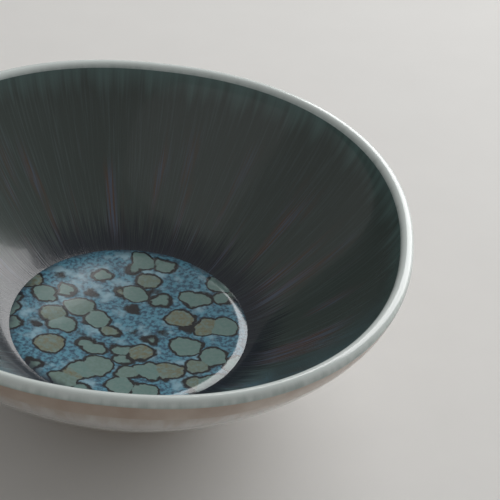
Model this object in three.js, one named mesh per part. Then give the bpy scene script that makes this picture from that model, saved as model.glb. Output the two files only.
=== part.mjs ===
// A glazed stoneware dip bowl: a thin clay body on a turned foot ring, a dark liner glaze inside,
// a lens of pooled glaze in the well, a pale lip, an iron band under it and a milky outer glaze.
//
// Millimetres, +Z up. The origin is the centre of the foot ring, on the surface that the bowl
// stands on. X and Y run across the flats of the slightly squared rim.
import * as THREE from "three";

// Sizes of the whole bowl.
const RIM_WIDTH = 130; // across the flats of the glazed lip
const HEIGHT = 46; // from the table to the top of the lip
const PLAN_POWER = 2.19; // power of the rim's superellipse: 2 is round, more is squarer
const ROUND_BELOW = 14; // height under which the bowl stays as round as it was turned

// The clay body.
const LIP_THICKNESS = 2.3; // clay at the lip
const WALL_LEAN = 14; // degrees from upright, where the wall meets the lip
const FLOOR_HEIGHT = 8.7; // clay floor above the table, on the axis
const FLOOR_RISE = 2.4; // rise of the clay floor from the axis to the edge of the well
const WELL_RADIUS = 29; // where the floor turns up into the wall

// How far each curve of the wall holds its end direction, as a share of its straight reach.
const HOLD_AT_WELL = 0.17;
const HOLD_INSIDE_LIP = 0.21;
const HOLD_OUTSIDE_LIP = 0.28;
const HOLD_AT_FOOT = 0.25;
const SPRING_ANGLE = 28; // degrees above level, where the belly springs from the foot

// The turned foot ring.
const FOOT_DIAMETER = 48; // outside, at the table
const FOOT_FLARE = 0.8; // the foot's top is this much wider than its bottom, on each side
const FOOT_WIDTH = 3.4; // the ring, measured across at the table
const FOOT_CHAMFER = 0.6; // the softened edges of the ring
const FOOT_HEIGHT = 5.6; // from the table to where the belly springs from the foot
const RECESS_DEPTH = 4.8; // from the table up to the clay inside the ring
const RECESS_SLOPE = 0.5; // the ring's inner face leans in by this much

// The coats of glaze.
const LINER_THICKNESS = 0.6; // dark glaze inside
const LIP_COAT = 0.45; // pale glaze over the lip
const OUTER_THICKNESS = 0.5; // milky glaze outside
const BASE_COAT = 0.4; // glaze inside the foot ring
const POOL_DEPTH = 1.3; // extra glaze in the middle of the well
const BARE_ABOVE_FOOT = 2.5; // bare clay from the foot up to the edge of the outer glaze
const IRON_BAND_WIDTH = 5; // iron-stained band under the lip, along the wall

// Fineness of the faceted surfaces.
const SEGMENTS = 56; // around the bowl
const FLOOR_STEPS = 5;
const WALL_STEPS = 9;
const LIP_STEPS = 6;
const BAND_STEPS = 2;
const BELLY_STEPS = 9;
const RECESS_STEPS = 3;

const point = (radius, height) => new THREE.Vector2(radius, height);

// Points along a curve between two shares of its length, both ends included.
function along(curve, from, to, steps) {
  const points = [];
  for (let k = 0; k <= steps; k += 1) {
    points.push(curve.getPointAt(from + ((to - from) * k) / steps));
  }
  return points;
}

// The clay section is drawn as one line of points, from the middle of the floor up the inside,
// over the lip and down the outside to the foot. Stations are places along it.
function claySection() {
  const lean = THREE.MathUtils.degToRad(WALL_LEAN);
  const up = point(Math.sin(lean), Math.cos(lean));
  const lipRadius = LIP_THICKNESS / 2;
  const lip = point(RIM_WIDTH / 2 - LIP_COAT - lipRadius, HEIGHT - LIP_COAT - lipRadius);

  const floorRise = new THREE.QuadraticBezierCurve(
    point(0, FLOOR_HEIGHT),
    point(WELL_RADIUS / 2, FLOOR_HEIGHT),
    point(WELL_RADIUS, FLOOR_HEIGHT + FLOOR_RISE),
  );
  const wellEdge = floorRise.getPoint(1);
  const outward = floorRise.getTangent(1);
  const lipInside = point(lip.x - lipRadius * up.y, lip.y + lipRadius * up.x);
  const innerReach = lipInside.distanceTo(wellEdge);
  const innerWall = new THREE.CubicBezierCurve(
    wellEdge,
    wellEdge.clone().addScaledVector(outward, innerReach * HOLD_AT_WELL),
    lipInside.clone().addScaledVector(up, -innerReach * HOLD_INSIDE_LIP),
    lipInside,
  );

  const overLip = new THREE.EllipseCurve(
    lip.x, lip.y, lipRadius, lipRadius, Math.PI - lean, -lean, true,
  );

  const lipOutside = point(lip.x + lipRadius * up.y, lip.y - lipRadius * up.x);
  const footTop = point(FOOT_DIAMETER / 2 + FOOT_FLARE, FOOT_HEIGHT);
  const outerReach = lipOutside.distanceTo(footTop);
  const spring = THREE.MathUtils.degToRad(SPRING_ANGLE);
  const bellyStart = point(Math.cos(spring), Math.sin(spring));
  const outerWall = new THREE.CubicBezierCurve(
    lipOutside,
    lipOutside.clone().addScaledVector(up, -outerReach * HOLD_OUTSIDE_LIP),
    footTop.clone().addScaledVector(bellyStart, outerReach * HOLD_AT_FOOT),
    footTop,
  );
  const bandShare = IRON_BAND_WIDTH / outerWall.getLength();
  const bareShare = 1 - BARE_ABOVE_FOOT / outerWall.getLength();

  const line = [
    ...along(floorRise, 0, 1, FLOOR_STEPS),
    ...along(innerWall, 0, 1, WALL_STEPS).slice(1),
    ...along(overLip, 0, 1, LIP_STEPS).slice(1),
    ...along(outerWall, 0, bandShare, BAND_STEPS).slice(1),
    ...along(outerWall, bandShare, bareShare, BELLY_STEPS).slice(1),
  ];
  const wellRim = FLOOR_STEPS;
  const lipStart = wellRim + WALL_STEPS;
  const lipEnd = lipStart + LIP_STEPS;
  const bandEnd = lipEnd + BAND_STEPS;
  const glazeEnd = bandEnd + BELLY_STEPS;
  return { line, footTop, wellRim, lipStart, lipEnd, bandEnd, glazeEnd };
}

// The thickness of glaze at each station, blending over the lip.
function coatAt(station, clay) {
  if (station <= clay.lipStart) {
    const thinning = Math.max(0, (station - clay.wellRim) / (clay.lipStart - clay.wellRim));
    return THREE.MathUtils.lerp(LINER_THICKNESS, LIP_COAT, thinning);
  }
  const gathering = Math.max(0, (station - clay.lipEnd) / (clay.glazeEnd - clay.lipEnd));
  return THREE.MathUtils.lerp(LIP_COAT, OUTER_THICKNESS, gathering);
}

// The glazed surface: each clay point moved out along the section's normal by its coat.
function glazedLine(clay) {
  const { line } = clay;
  return line.map((spot, k) => {
    const before = k === 0 ? point(-line[1].x, line[1].y) : line[k - 1];
    const after = line[Math.min(k + 1, line.length - 1)];
    const run = after.clone().sub(before).normalize();
    return spot.clone().addScaledVector(point(-run.y, run.x), coatAt(k, clay));
  });
}

// The foot ring and its recess, from the outside of the foot inwards to the axis.
function footLine(clay) {
  const outside = FOOT_DIAMETER / 2;
  const inside = outside - FOOT_WIDTH;
  const recessCorner = point(inside - RECESS_SLOPE, RECESS_DEPTH);
  const recess = [];
  for (let k = 0; k <= RECESS_STEPS; k += 1) {
    recess.push(point(recessCorner.x * (1 - k / RECESS_STEPS), RECESS_DEPTH));
  }
  return {
    ring: [
      clay.footTop,
      point(outside, FOOT_CHAMFER),
      point(outside - FOOT_CHAMFER, 0),
      point(inside + FOOT_CHAMFER, 0),
      point(inside, FOOT_CHAMFER),
    ],
    recess,
  };
}

// The rim was eased from round to a superellipse while the clay was soft. This is how far out
// it goes in a direction, against its reach along X and Y.
function planReach(x, y) {
  const radius = Math.hypot(x, y);
  const total = (Math.abs(x) / radius) ** PLAN_POWER + (Math.abs(y) / radius) ** PLAN_POWER;
  return total ** (-1 / PLAN_POWER);
}

// Turns a section about Z, then eases it out to the plan of the rim. Neighbouring pieces share
// whole runs of points, so every quad is split from its inner, lower edge whichever way the
// section runs. Shared faces are then the same triangles.
function turned(section) {
  const lathe = new THREE.LatheGeometry(section, SEGMENTS);
  const across = section.length;
  const faces = [];
  for (let i = 0; i < SEGMENTS; i += 1) {
    for (let j = 0; j < across - 1; j += 1) {
      const a = i * across + j;
      const [b, c, d] = [a + across, a + across + 1, a + 1];
      const p = section[j];
      const q = section[j + 1];
      const outwards = p.x < q.x || (p.x === q.x && p.y < q.y);
      if (p.x > 0 && q.x > 0) {
        faces.push(...(outwards ? [a, b, c, a, c, d] : [a, b, d, b, c, d]));
      } else if (p.x > 0) {
        faces.push(a, b, d);
      } else if (q.x > 0) {
        faces.push(a, c, d);
      }
    }
  }
  lathe.setIndex(faces);
  lathe.rotateX(Math.PI / 2);

  const positions = lathe.getAttribute("position");
  for (let k = 0; k < positions.count; k += 1) {
    const [x, y, z] = [positions.getX(k), positions.getY(k), positions.getZ(k)];
    if (x !== 0 || y !== 0) {
      const eased = THREE.MathUtils.smoothstep(z, ROUND_BELOW, HEIGHT);
      const reach = 1 + eased * (planReach(x, y) - 1);
      positions.setXY(k, x * reach, y * reach);
    }
  }
  lathe.computeVertexNormals();
  return lathe;
}

function piece(name, section, color, roughness) {
  const material = new THREE.MeshStandardMaterial({ color, roughness, metalness: 0 });
  const mesh = new THREE.Mesh(turned(section), material);
  mesh.name = name;
  return mesh;
}

// A coat of glaze between two stations: out along the clay and back along the glazed surface.
function coat(clay, glazed, from, to) {
  const under = clay.line.slice(from, to + 1);
  const over = glazed.slice(from, to + 1).reverse();
  const loop = [...under, ...over];
  return from === 0 ? loop : [...loop, under[0]];
}

// The pooled glaze: a lens on the liner glaze, as deep as POOL_DEPTH on the axis and nothing at
// the edge of the well.
function pool(clay, glazed) {
  const bed = glazed.slice(0, clay.wellRim + 1);
  const edge = bed[bed.length - 1].x;
  const top = bed.slice(0, -1).map((spot) => {
    const share = spot.x / edge;
    return point(spot.x, spot.y + POOL_DEPTH * (1 - share * share) ** 0.5);
  });
  return [...bed, ...top.reverse()];
}

// The glaze inside the foot ring, from the clay of the recess down.
function baseCoat(foot) {
  const under = foot.recess.map((spot) => point(spot.x, spot.y - BASE_COAT));
  return [...foot.recess, ...under.reverse(), foot.recess[0]];
}

const clay = claySection();
const glazed = glazedLine(clay);
const foot = footLine(clay);

const bowl = new THREE.Group();
bowl.add(
  piece("stoneware_body", [...clay.line, ...foot.ring, ...foot.recess].reverse(), 0xc9bba6, 0.85),
  piece("liner_glaze", coat(clay, glazed, 0, clay.lipStart), 0x3c4a47, 0.22),
  piece("glaze_pool", pool(clay, glazed), 0x4f8f9b, 0.15),
  piece("lip_glaze", coat(clay, glazed, clay.lipStart, clay.lipEnd), 0xe9efec, 0.18),
  piece("iron_band", coat(clay, glazed, clay.lipEnd, clay.bandEnd), 0xb39a84, 0.25),
  piece("outer_glaze", coat(clay, glazed, clay.bandEnd, clay.glazeEnd), 0xdcdad6, 0.2),
  piece("base_glaze", baseCoat(foot), 0xdcdad6, 0.25),
);

export default bowl;
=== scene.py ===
"""A glazed stoneware dip bowl on a plain floor: clay, coats of glaze, pooled glaze, light, camera."""

import math

import bmesh
import bpy
import numpy as np
from mathutils import Matrix, Vector


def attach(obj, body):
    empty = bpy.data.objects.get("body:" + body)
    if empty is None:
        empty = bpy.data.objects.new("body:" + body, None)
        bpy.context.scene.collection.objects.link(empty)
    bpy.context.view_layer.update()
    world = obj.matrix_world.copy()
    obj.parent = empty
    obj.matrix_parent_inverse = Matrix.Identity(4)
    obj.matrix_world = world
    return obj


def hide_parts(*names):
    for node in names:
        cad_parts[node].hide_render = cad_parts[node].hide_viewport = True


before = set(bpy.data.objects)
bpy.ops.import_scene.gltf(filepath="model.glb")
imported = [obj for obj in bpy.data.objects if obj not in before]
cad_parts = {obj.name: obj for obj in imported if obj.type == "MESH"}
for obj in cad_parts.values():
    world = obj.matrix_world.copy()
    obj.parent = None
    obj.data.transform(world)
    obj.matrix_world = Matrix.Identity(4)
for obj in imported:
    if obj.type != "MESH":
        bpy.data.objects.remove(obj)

bl_info = {
    "name": "Dip bowl",
    "version": (1, 0, 0),
    "blender": (4, 5, 0),
    "location": "View3D > Sidebar > Dip bowl",
    "description": "Builds a glazed dip bowl and its studio stage",
    "category": "Object",
}

MM = 0.001

# Fineness of the surfaces: steps around the bowl and along each stretch of its section.
AROUND = 240
FLOOR_STEPS = 24
WALL_STEPS = 40
LIP_STEPS = 16
BAND_STEPS = 8
BELLY_STEPS = 48
RECESS_STEPS = 12

# How far each curve of the wall holds its end direction, as a share of its straight reach.
HOLD_AT_WELL = 0.17
HOLD_INSIDE_LIP = 0.21
HOLD_OUTSIDE_LIP = 0.28
HOLD_AT_FOOT = 0.25

# Small shapes of the foot ring, in millimetres.
FOOT_FLARE = 0.8
FOOT_CHAMFER = 0.6
RECESS_SLOPE = 0.5

# The camera, worked out from the shape of the rim in the photograph.
PHOTO_PIXELS = 500
SENSOR_MM = 36
FOCAL_PIXELS = 2000
RIM_CENTRE_PIXELS = (136.4, 211.0)
PITCH_DEGREES = 37.86
ROLL_DEGREES = 6.4
DISTANCE_IN_RIM_RADII = 7.142


class BowlSizes(bpy.types.PropertyGroup):
    """Sizes of the bowl in millimetres."""

    rim_width: bpy.props.FloatProperty(name="Rim width", description="Across the lip's flats", default=130)
    height: bpy.props.FloatProperty(name="Height", description="Table to top of lip", default=46)
    plan_power: bpy.props.FloatProperty(name="Plan power", description="2 is round, 4 is squarer", default=2.19)
    round_below: bpy.props.FloatProperty(name="Round below", description="Height kept round", default=14)
    lip_thickness: bpy.props.FloatProperty(name="Lip thickness", description="Clay at the lip", default=2.3)
    wall_lean: bpy.props.FloatProperty(name="Wall lean", description="Degrees from upright", default=14)
    spring_angle: bpy.props.FloatProperty(name="Spring angle", description="Belly above the foot", default=28)
    floor_height: bpy.props.FloatProperty(name="Floor height", description="Clay on the axis", default=8.7)
    floor_rise: bpy.props.FloatProperty(name="Floor rise", description="Axis to edge of well", default=2.4)
    well_radius: bpy.props.FloatProperty(name="Well radius", description="Edge of the well", default=29)
    foot_diameter: bpy.props.FloatProperty(name="Foot diameter", description="At the table", default=48)
    foot_width: bpy.props.FloatProperty(name="Foot width", description="Across the ring", default=3.4)
    foot_height: bpy.props.FloatProperty(name="Foot height", description="Table to belly", default=5.6)
    recess_depth: bpy.props.FloatProperty(name="Recess depth", description="Inside the ring", default=4.8)
    liner: bpy.props.FloatProperty(name="Liner", description="Dark glaze inside", default=0.6)
    lip_coat: bpy.props.FloatProperty(name="Lip coat", description="Glaze over the lip", default=0.45)
    outer: bpy.props.FloatProperty(name="Outer", description="Milky glaze outside", default=0.5)
    base: bpy.props.FloatProperty(name="Base", description="Glaze in the recess", default=0.4)
    pool_depth: bpy.props.FloatProperty(name="Pool depth", description="Glaze in the well", default=1.3)
    band_width: bpy.props.FloatProperty(name="Band width", description="Iron band", default=5)
    bare: bpy.props.FloatProperty(name="Bare clay", description="Above the foot", default=2.5)


class BowlColours(bpy.types.PropertyGroup):
    """Main colours of the bowl, linear."""

    clay: bpy.props.FloatVectorProperty(
        name="Clay", description="Bare stoneware", size=4, subtype="COLOR", default=(0.52, 0.42, 0.31, 1))
    liner: bpy.props.FloatVectorProperty(
        name="Liner", description="Dark inner glaze", size=4, subtype="COLOR",
        default=(0.058, 0.077, 0.07, 1))
    teal: bpy.props.FloatVectorProperty(
        name="Teal", description="Inner glaze near the lip", size=4, subtype="COLOR",
        default=(0.13, 0.21, 0.2, 1))
    pool: bpy.props.FloatVectorProperty(
        name="Pool", description="Blue pooled glaze", size=4, subtype="COLOR", default=(0.12, 0.34, 0.46, 1))
    cell: bpy.props.FloatVectorProperty(
        name="Cell", description="Green cells in the pool", size=4, subtype="COLOR",
        default=(0.15, 0.27, 0.25, 1))
    lip: bpy.props.FloatVectorProperty(
        name="Lip", description="Pale lip", size=4, subtype="COLOR", default=(0.7, 0.76, 0.74, 1))
    iron: bpy.props.FloatVectorProperty(
        name="Iron", description="Warm band", size=4, subtype="COLOR", default=(0.36, 0.27, 0.21, 1))
    milk: bpy.props.FloatVectorProperty(
        name="Milk", description="Outer glaze", size=4, subtype="COLOR", default=(0.62, 0.6, 0.58, 1))


def curve(points, shares):
    """Points on the Bezier curve of these control points, spaced by shares of its length."""
    t = np.linspace(0, 1, 401)[:, None]
    degree = len(points) - 1
    spots = sum(
        math.comb(degree, k) * (1 - t) ** (degree - k) * t ** k * np.asarray(p, float)
        for k, p in enumerate(points)
    )
    length = np.r_[0, np.cumsum(np.linalg.norm(np.diff(spots, axis=0), axis=1))]
    wanted = np.asarray(shares) * length[-1]
    radii = np.interp(wanted, length, spots[:, 0])
    heights = np.interp(wanted, length, spots[:, 1])
    return np.c_[radii, heights], length[-1]


def clay_section(s):
    """The clay's section from the floor up the inside, over the lip and down to the foot.

    Returns the line and the stations where the glazes change, in millimetres.
    """
    lean = math.radians(s.wall_lean)
    spring = math.radians(s.spring_angle)
    up = np.array([math.sin(lean), math.cos(lean)])
    out = np.array([up[1], -up[0]])
    half = s.lip_thickness / 2
    lip = np.array([s.rim_width / 2 - s.lip_coat - half, s.height - s.lip_coat - half])
    edge = np.array([s.well_radius, s.floor_height + s.floor_rise])
    level = (s.well_radius / 2, s.floor_height)
    floor, _ = curve([(0, s.floor_height), level, edge], np.linspace(0, 1, FLOOR_STEPS + 1))
    rise = np.array([s.well_radius / 2, s.floor_rise])
    rise /= np.linalg.norm(rise)
    inside = lip - out * half
    reach = np.linalg.norm(inside - edge)
    leaving = edge + rise * reach * HOLD_AT_WELL
    arriving = inside - up * reach * HOLD_INSIDE_LIP
    wall, _ = curve([edge, leaving, arriving, inside], np.linspace(0, 1, WALL_STEPS + 1))
    turn = np.linspace(math.pi - lean, -lean, LIP_STEPS + 1)
    over = lip + half * np.c_[np.cos(turn), np.sin(turn)]
    outside = lip + out * half
    foot = np.array([s.foot_diameter / 2 + FOOT_FLARE, s.foot_height])
    reach = np.linalg.norm(outside - foot)
    springing = np.array([math.cos(spring), math.sin(spring)])
    leaving = outside - up * reach * HOLD_OUTSIDE_LIP
    arriving = foot + springing * reach * HOLD_AT_FOOT
    shape = [outside, leaving, arriving, foot]
    _, length = curve(shape, [0, 1])
    band_share, bare_share = s.band_width / length, 1 - s.bare / length
    band, _ = curve(shape, np.linspace(0, band_share, BAND_STEPS + 1))
    belly, _ = curve(shape, np.linspace(band_share, bare_share, BELLY_STEPS + 1))
    line = np.vstack([floor, wall[1:], over[1:], band[1:], belly[1:]])
    ends = np.cumsum([FLOOR_STEPS, WALL_STEPS, LIP_STEPS, BAND_STEPS, BELLY_STEPS])
    return line, foot, ends


def glazed_line(line, ends, s):
    """Clay point plus coat thickness times the section's outward normal."""
    index = np.arange(len(line))
    well, inner, over, _, last = ends
    coat = np.interp(index, [well, inner, over, last], [s.liner, s.lip_coat, s.lip_coat, s.outer])
    before = np.vstack([[-line[1, 0], line[1, 1]], line[:-1]])
    after = np.vstack([line[1:], line[-1:]])
    run = after - before
    run /= np.linalg.norm(run, axis=1)[:, None]
    return line + coat[:, None] * np.c_[-run[:, 1], run[:, 0]]


def turned(name, section, s, material, node):
    """Turns a section about Z: x = r cos a, y = r sin a, times 1 + e (g - 1).

    g = (|cos a|^p + |sin a|^p)^(-1/p), and e is a smooth step of height up to the lip.
    """
    section = np.asarray(section, float)
    angle = np.linspace(0, 2 * math.pi, AROUND, endpoint=False)[:, None]
    cos, sin = np.cos(angle), np.sin(angle)
    reach = (np.abs(cos) ** s.plan_power + np.abs(sin) ** s.plan_power) ** (-1 / s.plan_power)
    share = np.clip((section[:, 1] - s.round_below) / (s.height - s.round_below), 0, 1)
    eased = share * share * (3 - 2 * share)
    radius = section[:, 0] * (1 + eased * (reach - 1))
    height = np.broadcast_to(section[:, 1], radius.shape)
    verts = np.stack([radius * cos, radius * sin, height], -1).reshape(-1, 3) * MM
    count = len(section)
    i, j = np.meshgrid(np.arange(AROUND), np.arange(count - 1), indexing="ij")
    a = i * count + j
    b = (i + 1) % AROUND * count + j
    faces = np.stack([a, b, b + 1, a + 1], -1).reshape(-1, 4)
    mesh = bpy.data.meshes.new(name)
    mesh.from_pydata(verts.tolist(), [], faces.tolist())
    work = bmesh.new()
    work.from_mesh(mesh)
    bmesh.ops.remove_doubles(work, verts=work.verts, dist=1e-7)
    bmesh.ops.recalc_face_normals(work, faces=work.faces)
    work.to_mesh(mesh)
    work.free()
    mesh.polygons.foreach_set("use_smooth", np.ones(len(mesh.polygons), bool))
    mesh.set_sharp_from_angle(angle=math.radians(40))
    mesh.materials.append(material)
    piece = bpy.data.objects.new(name, mesh)
    bpy.context.scene.collection.objects.link(piece)
    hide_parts(node)
    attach(piece, "root")
    return piece


def coat(line, glazed, start, end):
    """A closed strip of glaze between two stations."""
    loop = np.vstack([line[start:end + 1], glazed[start:end + 1][::-1]])
    return loop if start == 0 else np.vstack([loop, loop[:1]])


class Nodes:
    """A material's node tree, with short calls for the nodes that this bowl uses."""

    def __init__(self, name, roughness, clear=0.0):
        self.material = bpy.data.materials.new(name)
        self.material.use_nodes = True
        self.tree = self.material.node_tree
        self.shader = self.tree.nodes["Principled BSDF"]
        self.shader.inputs["Roughness"].default_value = roughness
        self.shader.inputs["Coat Weight"].default_value = clear
        self.shader.inputs["Coat Roughness"].default_value = 0.06
        self.place = self.tree.nodes.new("ShaderNodeTexCoord").outputs["Object"]

    def link(self, value, socket):
        """Joins a socket, or sets a plain value."""
        if isinstance(value, bpy.types.NodeSocket):
            self.tree.links.new(value, socket)
        else:
            socket.default_value = value

    def math(self, operation, a, b=0.0):
        """One Math node."""
        node = self.tree.nodes.new("ShaderNodeMath")
        node.operation = operation
        self.link(a, node.inputs[0])
        self.link(b, node.inputs[1])
        return node.outputs[0]

    def vector(self, operation, a, b=(0, 0, 0), scale=1.0):
        """One Vector Math node."""
        node = self.tree.nodes.new("ShaderNodeVectorMath")
        node.operation = operation
        self.link(a, node.inputs[0])
        if operation == "SCALE":
            self.link(scale, node.inputs["Scale"])
        elif operation in ("ADD", "MULTIPLY"):
            self.link(b, node.inputs[1])
        return node.outputs["Value" if operation == "LENGTH" else "Vector"]

    def noise(self, where, scale, detail=4.0, output=0):
        """Soft noise: output 0 is grey, 1 is colour."""
        node = self.tree.nodes.new("ShaderNodeTexNoise")
        node.inputs["Scale"].default_value = scale
        node.inputs["Detail"].default_value = detail
        self.link(where, node.inputs["Vector"])
        return node.outputs[output]

    def cells(self, where, scale):
        """Rounded cells, with the distance from each middle and a colour for each."""
        node = self.tree.nodes.new("ShaderNodeTexVoronoi")
        node.inputs["Scale"].default_value = scale
        self.link(where, node.inputs["Vector"])
        return node

    def spread(self, value, low, high):
        """0 at low, 1 at high, smooth between."""
        node = self.tree.nodes.new("ShaderNodeMapRange")
        node.interpolation_type = "SMOOTHSTEP"
        self.link(value, node.inputs["Value"])
        node.inputs["From Min"].default_value = low
        node.inputs["From Max"].default_value = high
        return node.outputs["Result"]

    def mix(self, share, a, b):
        """Colour a at 0, colour b at 1."""
        node = self.tree.nodes.new("ShaderNodeMix")
        node.data_type = "RGBA"
        self.link(share, node.inputs["Factor"])
        self.link(a, node.inputs[6])
        self.link(b, node.inputs[7])
        return node.outputs[2]

    def along(self, axis):
        """The place along one axis, in metres."""
        node = self.tree.nodes.new("ShaderNodeSeparateXYZ")
        self.link(self.place, node.inputs[0])
        return node.outputs[axis]

    def flat(self):
        """The place with its height left out."""
        return self.vector("MULTIPLY", self.place, (1, 1, 0))

    def hairs(self, around, along):
        """A place that changes fast round the bowl and slowly up its wall."""
        flat = self.flat()
        ring = self.vector("SCALE", self.vector("NORMALIZE", flat), scale=around)
        lift = self.tree.nodes.new("ShaderNodeCombineXYZ")
        self.link(self.math("MULTIPLY", self.vector("LENGTH", flat), along), lift.inputs["Z"])
        return self.vector("ADD", ring, lift.outputs[0])

    def bump(self, value, depth):
        """Raises the surface by a depth in metres."""
        node = self.tree.nodes.new("ShaderNodeBump")
        node.inputs["Distance"].default_value = depth
        node.inputs["Strength"].default_value = 0.6
        self.link(value, node.inputs["Height"])
        self.link(node.outputs[0], self.shader.inputs["Normal"])

    def colour(self, value):
        """Sets the colour and gives back the material."""
        self.link(value, self.shader.inputs["Base Color"])
        return self.material


def clay_material(c):
    """Bare stoneware: sandy, speckled and dry."""
    n = Nodes("stoneware", 0.85)
    sand = n.noise(n.place, 900, 6)
    dark = tuple(v * 0.6 for v in c.clay[:3]) + (1,)
    n.bump(sand, 0.0002)
    return n.colour(n.mix(n.spread(sand, 0.35, 0.6), dark, tuple(c.clay)))


def liner_material(c):
    """Dark glaze with fine hairs up the wall, rust where it is thin, teal below the lip, and paler teal streaks
    on the front wall that are partly painted light.
    """
    n = Nodes("liner_glaze", 0.2, 0.4)
    fine = n.noise(n.hairs(40, 30), 3.2, 5)
    broad = n.noise(n.hairs(5, 18), 1.4, 3)
    pale = n.mix(n.spread(fine, 0.45, 0.8), tuple(c.liner), (0.085, 0.115, 0.112, 1))
    thin = n.math("MULTIPLY", n.spread(broad, 0.5, 0.66), n.spread(n.along("Z"), 0.036, 0.022))
    lilac = n.mix(n.spread(fine, 0.42, 0.6), (0.12, 0.066, 0.042, 1), (0.1, 0.125, 0.18, 1))
    broken = n.mix(thin, pale, lilac)
    # Painted light: the front wall, which faces the key light, turns paler teal where the fine hairs run. This
    # is partly the glaze's own pale streaks and partly painted light.
    front = n.math("MULTIPLY", n.spread(n.along("Y"), -0.008, -0.04), n.spread(fine, 0.25, 0.7))
    pale_streaks_and_painted_light = n.mix(front, broken, (0.1, 0.2, 0.235, 1))
    ragged = n.math("ADD", n.along("Z"), n.math("MULTIPLY", n.noise(n.hairs(14, 10), 2, 3), 0.012))
    upper = n.mix(n.spread(ragged, 0.044, 0.053), pale_streaks_and_painted_light, tuple(c.teal))
    fringe = n.math("ADD", n.along("Z"), n.math("MULTIPLY", fine, 0.012))
    low = n.mix(n.spread(fringe, 0.017, 0.024), (0.012, 0.018, 0.03, 1), upper)
    n.bump(fine, 0.00006)
    return n.colour(low)


def pool_material(c):
    """Blue crystalline glass with dark-ringed green cells and a navy fringe at its edge."""
    n = Nodes("pool_glaze", 0.12, 0.6)
    wander = n.noise(n.place, 160, 3, 1)
    shifted = n.vector("ADD", n.place, n.vector("SCALE", wander, scale=0.005))
    flat = n.vector("MULTIPLY", shifted, (1, 1.15, 0))
    cell = n.cells(flat, 135)
    size = n.math("ADD", cell.outputs["Distance"], n.math("MULTIPLY", n.noise(n.place, 420, 3), 0.18))
    speck = n.noise(n.place, 1100, 5)
    cloud = n.noise(n.place, 210, 4)
    blue = n.mix(n.spread(speck, 0.36, 0.62), (0.04, 0.1, 0.16, 1), tuple(c.pool))
    icy = n.mix(n.spread(cloud, 0.5, 0.7), blue, (0.3, 0.5, 0.6, 1))
    split = n.tree.nodes.new("ShaderNodeSeparateColor")
    n.link(cell.outputs["Color"], split.inputs[0])
    olive = n.mix(n.spread(split.outputs[0], 0.45, 0.95), tuple(c.cell), (0.2, 0.19, 0.11, 1))
    grained = n.mix(n.spread(speck, 0.3, 0.75), olive, (0.2, 0.3, 0.28, 1))
    ringed = n.mix(n.spread(size, 0.53, 0.57), grained, (0.012, 0.014, 0.016, 1))
    pooled = n.mix(n.spread(size, 0.61, 0.68), ringed, icy)
    edge = n.math("ADD", n.vector("LENGTH", n.flat()), n.math("MULTIPLY", cloud, 0.006))
    n.bump(size, 0.00008)
    return n.colour(n.mix(n.spread(edge, 0.0295, 0.0335), pooled, (0.014, 0.022, 0.04, 1)))


def lip_material(c):
    """Pale glaze that breaks over the lip, greener on the inside."""
    n = Nodes("lip_glaze", 0.16, 0.4)
    ragged = n.math("ADD", n.along("Z"), n.math("MULTIPLY", n.noise(n.hairs(16, 60), 2, 4), 0.002))
    return n.colour(n.mix(n.spread(ragged, 0.0445, 0.0468), (0.3, 0.38, 0.36, 1), tuple(c.lip)))


def iron_material(c):
    """Warm iron-stained band with soft runs."""
    n = Nodes("iron_glaze", 0.24, 0.3)
    runs = n.noise(n.hairs(5, 120), 1.3, 3)
    return n.colour(n.mix(n.spread(runs, 0.15, 0.85), tuple(c.iron), (0.52, 0.44, 0.37, 1)))


def milk_material(c):
    """Milky glaze, warmer below the band, with faint runs and pinholes."""
    n = Nodes("outer_glaze", 0.18, 0.5)
    runs = n.noise(n.hairs(7, 30), 2.5, 5)
    ragged = n.math("ADD", n.along("Z"), n.math("MULTIPLY", runs, 0.012))
    warm = n.mix(n.spread(ragged, 0.038, 0.047), tuple(c.milk), (0.45, 0.38, 0.32, 1))
    n.bump(n.noise(n.place, 260, 3), 0.00008)
    return n.colour(n.mix(n.spread(n.noise(n.place, 1500, 2), 0.7, 0.76), warm, (0.4, 0.36, 0.31, 1)))


class BOWL_OT_clay(bpy.types.Operator):
    """Adds the clay body with its foot ring, and the glaze inside the ring"""

    bl_idname = "dip_bowl.clay"
    bl_label = "Clay and base"

    def execute(self, context):
        s, c = context.scene.bowl_sizes, context.scene.bowl_colours
        line, foot, _ = clay_section(s)
        outside, inside = s.foot_diameter / 2, s.foot_diameter / 2 - s.foot_width
        ring = [
            foot,
            (outside, FOOT_CHAMFER),
            (outside - FOOT_CHAMFER, 0),
            (inside + FOOT_CHAMFER, 0),
            (inside, FOOT_CHAMFER),
        ]
        across = np.linspace(inside - RECESS_SLOPE, 0, RECESS_STEPS + 1)
        recess = np.c_[across, np.full(len(across), s.recess_depth)]
        turned("bowl_clay", np.vstack([line, ring, recess]), s, clay_material(c), "stoneware_body")
        under = recess - [0, s.base]
        base = np.vstack([recess, under[::-1], recess[:1]])
        turned("bowl_base_glaze", base, s, milk_material(c), "base_glaze")
        return {"FINISHED"}


class BOWL_OT_glaze(bpy.types.Operator):
    """Adds the liner, lip, iron band and outer coats of glaze"""

    bl_idname = "dip_bowl.glaze"
    bl_label = "Coats of glaze"

    def execute(self, context):
        s, c = context.scene.bowl_sizes, context.scene.bowl_colours
        line, _, ends = clay_section(s)
        glazed = glazed_line(line, ends, s)
        _, inner, over, band, last = ends
        turned("bowl_liner", coat(line, glazed, 0, inner), s, liner_material(c), "liner_glaze")
        turned("bowl_lip", coat(line, glazed, inner, over), s, lip_material(c), "lip_glaze")
        turned("bowl_band", coat(line, glazed, over, band), s, iron_material(c), "iron_band")
        turned("bowl_outer", coat(line, glazed, band, last), s, milk_material(c), "outer_glaze")
        return {"FINISHED"}


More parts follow.
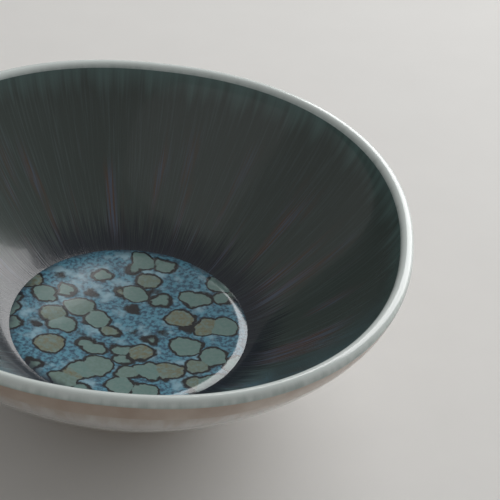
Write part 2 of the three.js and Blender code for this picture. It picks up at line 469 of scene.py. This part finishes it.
class BOWL_OT_pool(bpy.types.Operator):
    """Adds the lens of pooled glaze in the well"""

    bl_idname = "dip_bowl.pool"
    bl_label = "Glaze pool"

    def execute(self, context):
        s, c = context.scene.bowl_sizes, context.scene.bowl_colours
        line, _, ends = clay_section(s)
        bed = glazed_line(line, ends, s)[:ends[0] + 1]
        share = bed[:-1, 0] / bed[-1, 0]
        top = bed[:-1] + np.c_[np.zeros(len(share)), s.pool_depth * np.sqrt(1 - share ** 2)]
        turned("bowl_pool", np.vstack([bed, top[::-1]]), s, pool_material(c), "glaze_pool")
        return {"FINISHED"}


def area_light(name, place, aim, size, power):
    """A square soft light at a place, turned towards what it lights."""
    light = bpy.data.lights.new(name, "AREA")
    light.size = size
    light.energy = power
    lamp = bpy.data.objects.new(name, light)
    lamp.location = place
    lamp.rotation_euler = (Vector(aim) - Vector(place)).to_track_quat("-Z", "Y").to_euler()
    bpy.context.scene.collection.objects.link(lamp)


def add_camera(s):
    """Looks down at the rim from the front, rolled so that its right end drops."""
    pitch, roll = math.radians(PITCH_DEGREES), math.radians(ROLL_DEGREES)
    across, down = (spot - PHOTO_PIXELS / 2 for spot in RIM_CENTRE_PIXELS)
    cos, sin = math.cos(roll), math.sin(roll)
    away = DISTANCE_IN_RIM_RADII * s.rim_width / 2 * MM
    right = (cos * across + sin * down) / FOCAL_PIXELS * away
    up = -(cos * down - sin * across) / FOCAL_PIXELS * away
    place = Vector((
        -right,
        -away * math.cos(pitch) - up * math.sin(pitch),
        away * math.sin(pitch) - up * math.cos(pitch) + s.height * MM,
    ))
    camera = bpy.data.objects.new("camera", bpy.data.cameras.new("camera"))
    camera.data.lens = FOCAL_PIXELS / PHOTO_PIXELS * SENSOR_MM
    camera.data.sensor_width = SENSOR_MM
    turn = Matrix.Rotation(math.pi / 2 - pitch, 4, "X") @ Matrix.Rotation(roll, 4, "Z")
    camera.matrix_world = Matrix.Translation(place) @ turn
    bpy.context.scene.collection.objects.link(camera)
    bpy.context.scene.camera = camera


class BOWL_OT_stage(bpy.types.Operator):
    """Adds the floor, the studio light and the camera"""

    bl_idname = "dip_bowl.stage"
    bl_label = "Stage"

    def execute(self, context):
        mesh = bpy.data.meshes.new("floor")
        mesh.from_pydata([(-3, -3, 0), (3, -3, 0), (3, 3, 0), (-3, 3, 0)], [], [(0, 1, 2, 3)])
        floor = bpy.data.objects.new("floor", mesh)
        context.scene.collection.objects.link(floor)
        n = Nodes("floor", 0.7)
        grain = n.noise(n.place, 60, 5)
        mesh.materials.append(n.colour(n.mix(grain, (0.76, 0.75, 0.73, 1), (0.8, 0.79, 0.77, 1))))
        area_light("key", (0.5, 0.8, 0.55), (0, 0, 0.02), 1.0, 12)
        area_light("fill", (-0.5, -0.8, 0.9), (0, 0, 0.02), 1.2, 0.7)
        world = bpy.data.worlds.new("studio")
        world.use_nodes = True
        world.node_tree.nodes["Background"].inputs["Color"].default_value = (1, 0.99, 0.97, 1)
        world.node_tree.nodes["Background"].inputs["Strength"].default_value = 0.25
        context.scene.world = world
        context.scene.view_settings.view_transform = "Standard"
        add_camera(context.scene.bowl_sizes)
        return {"FINISHED"}


class BOWL_PT_panel(bpy.types.Panel):
    """Lists the bowl's operators"""

    bl_label = "Dip bowl"
    bl_idname = "BOWL_PT_panel"
    bl_space_type = "VIEW_3D"
    bl_region_type = "UI"
    bl_category = "Dip bowl"

    def draw(self, context):
        for operator in OPERATORS:
            self.layout.operator(operator.bl_idname)


OPERATORS = (BOWL_OT_clay, BOWL_OT_glaze, BOWL_OT_pool, BOWL_OT_stage)
CLASSES = (BowlSizes, BowlColours, *OPERATORS, BOWL_PT_panel)


def register():
    for item in CLASSES:
        bpy.utils.register_class(item)
    bpy.types.Scene.bowl_sizes = bpy.props.PointerProperty(type=BowlSizes)
    bpy.types.Scene.bowl_colours = bpy.props.PointerProperty(type=BowlColours)


def unregister():
    del bpy.types.Scene.bowl_colours
    del bpy.types.Scene.bowl_sizes
    for item in reversed(CLASSES):
        bpy.utils.unregister_class(item)


def main():
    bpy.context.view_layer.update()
    register()
    bpy.ops.dip_bowl.clay()
    bpy.ops.dip_bowl.glaze()
    bpy.ops.dip_bowl.pool()
    bpy.ops.dip_bowl.stage()
    bpy.context.view_layer.update()


if __name__ == "__main__":
    main()
